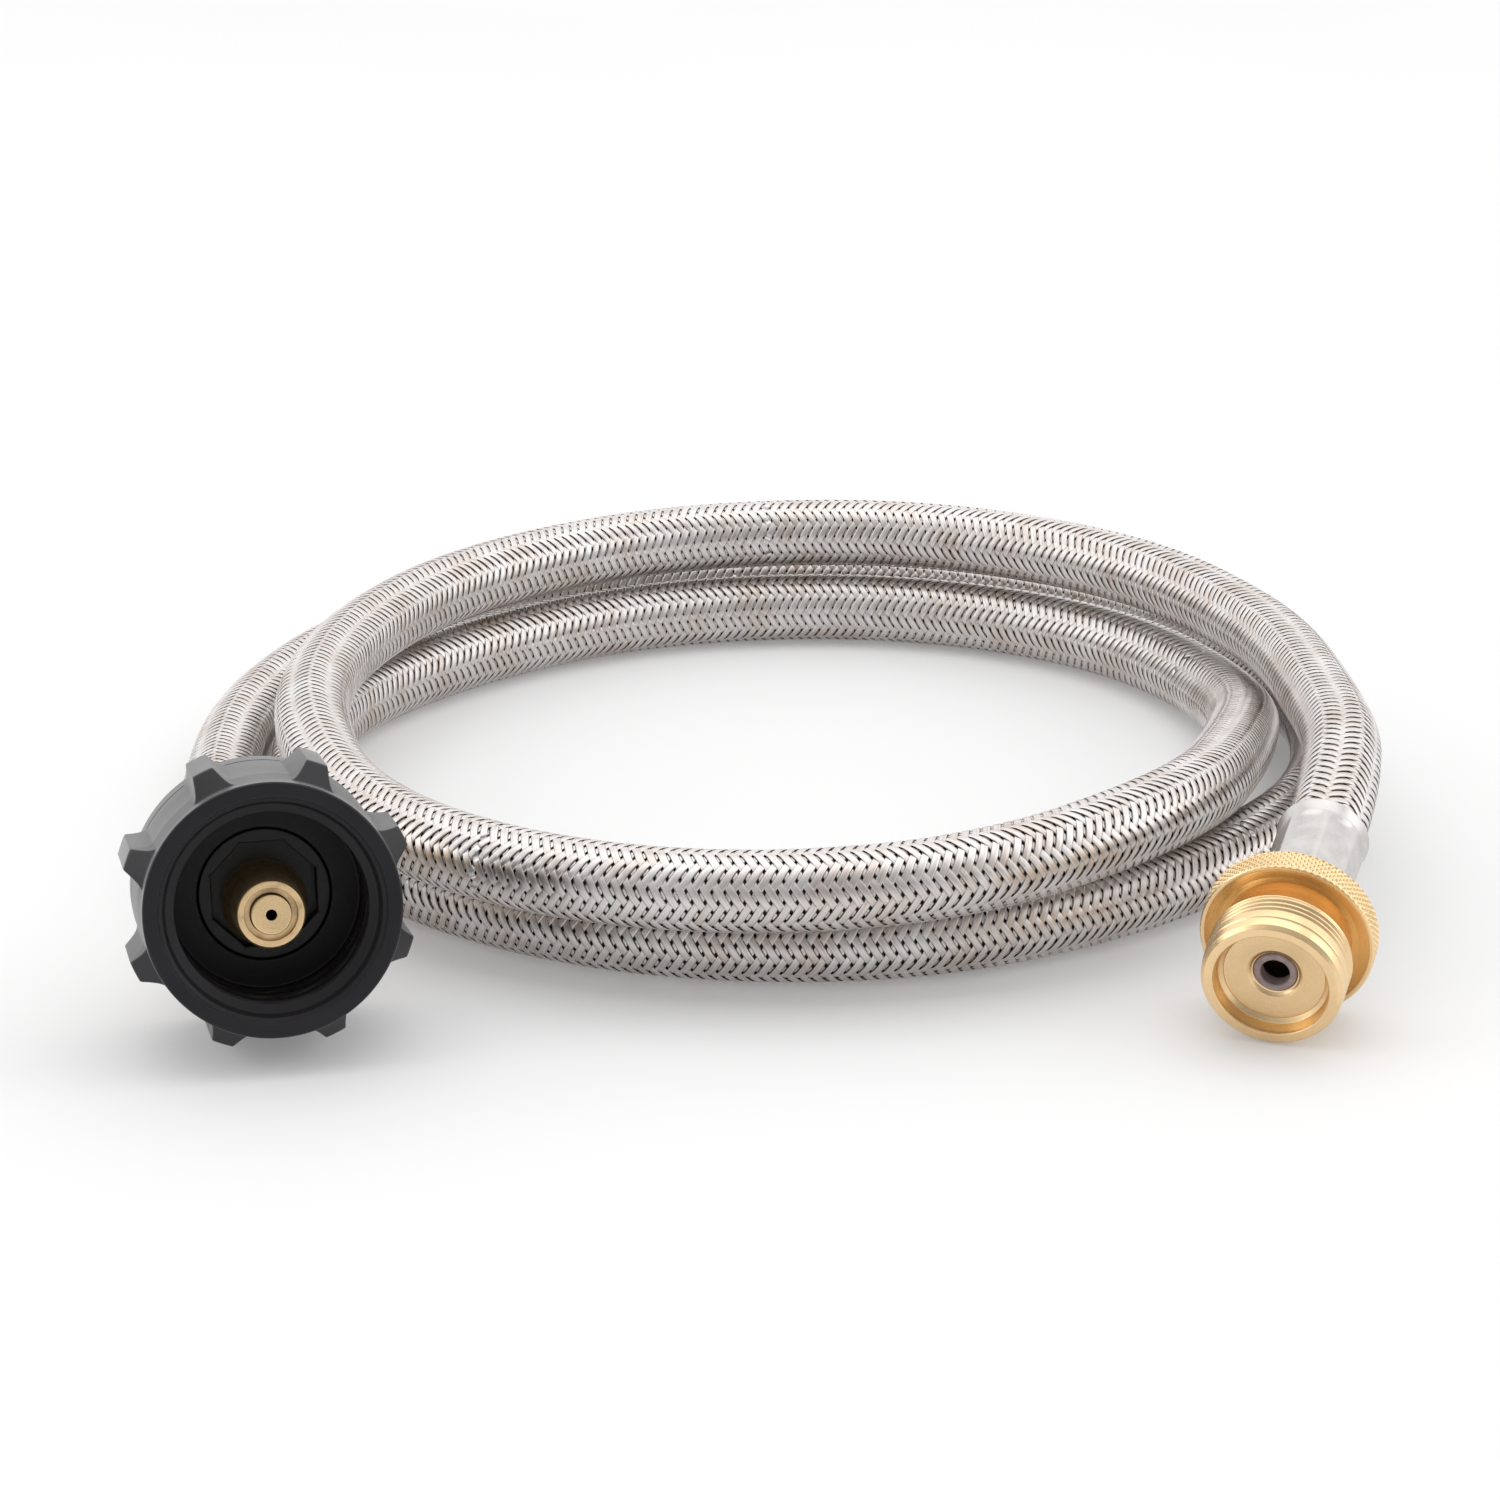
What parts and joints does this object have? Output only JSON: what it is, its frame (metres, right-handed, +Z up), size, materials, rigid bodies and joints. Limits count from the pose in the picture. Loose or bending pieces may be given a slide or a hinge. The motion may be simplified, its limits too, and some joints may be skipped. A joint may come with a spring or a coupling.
{
  "type": "propane adapter hose",
  "caption": "Steel-braided gas hose in a loose coil, with a lobed plastic hand nut over a brass nipple on one end and a brass male swivel fitting on the other.",
  "frame": {"origin": "on the supporting surface, under the middle of the box around the two end fittings", "axes": "+Z up from the surface; +X from the hand nut end to the threaded end; +Y back, away from the fittings' open faces and towards the coil"},
  "size_m": [0.2408, 0.2768, 0.0524],
  "materials": {
    "nut_plastic": "fine satin grain",
    "bushing_plastic": "moulded",
    "brass": "machined",
    "rubber_black": "moulded",
    "spring_steel": "drawn wire",
    "washer_aluminium": "turned",
    "crimp_steel": "pressed and plated",
    "hose_rubber": "extruded",
    "braid_steel": "braided fine wire",
    "washer_plastic": "moulded",
    "rubber_mauve": "moulded"
  },
  "bodies": {
    "root": {"inlet_nipple": "brass", "thermal_bushing": "bushing_plastic", "poppet_retainer": "brass", "poppet_spring": "spring_steel", "inlet_stem": "brass", "stem_washer": "washer_aluminium", "ferrule_inlet": "crimp_steel", "hose_liner": "hose_rubber", "hose_braid": "braid_steel", "ferrule_outlet": "crimp_steel", "outlet_stem": "brass", "swivel_seals": "rubber_black", "swivel_clip": "spring_steel", "thrust_washer": "washer_plastic"},
    "nut_carrier": {"nut_washer": "bushing_plastic"},
    "nut": {"hand_nut": "nut_plastic"},
    "poppet": {"flow_poppet": "brass", "poppet_seal": "rubber_black"},
    "outlet": {"outlet_body": "brass", "seat_disc": "brass", "seal_grommet": "rubber_mauve"}
  },
  "joints": [
    {"name": "nut_slide", "type": "slide", "parent": "root", "child": "nut_carrier", "axis": [-0.2074, 0.9595, -0.1908], "range_m": [0, 0.0042]},
    {"name": "nut_spin", "type": "hinge", "parent": "nut_carrier", "child": "nut", "pos_m": [-0.08511, -0.01431, 0.02624], "axis": [0.2074, -0.9595, 0.1908], "continuous": true},
    {"name": "poppet_slide", "type": "slide", "parent": "root", "child": "poppet", "axis": [-0.2074, 0.9595, -0.1908], "range_m": [0, 0.0018], "stiffness_N_per_m": 250, "springref_m": -0.003, "deforming": ["poppet_spring"]},
    {"name": "outlet_swivel", "type": "hinge", "parent": "root", "child": "outlet", "pos_m": [0.09214, -0.01215, 0.01447], "axis": [-0.3042, -0.9252, -0.2267], "continuous": true}
  ]
}
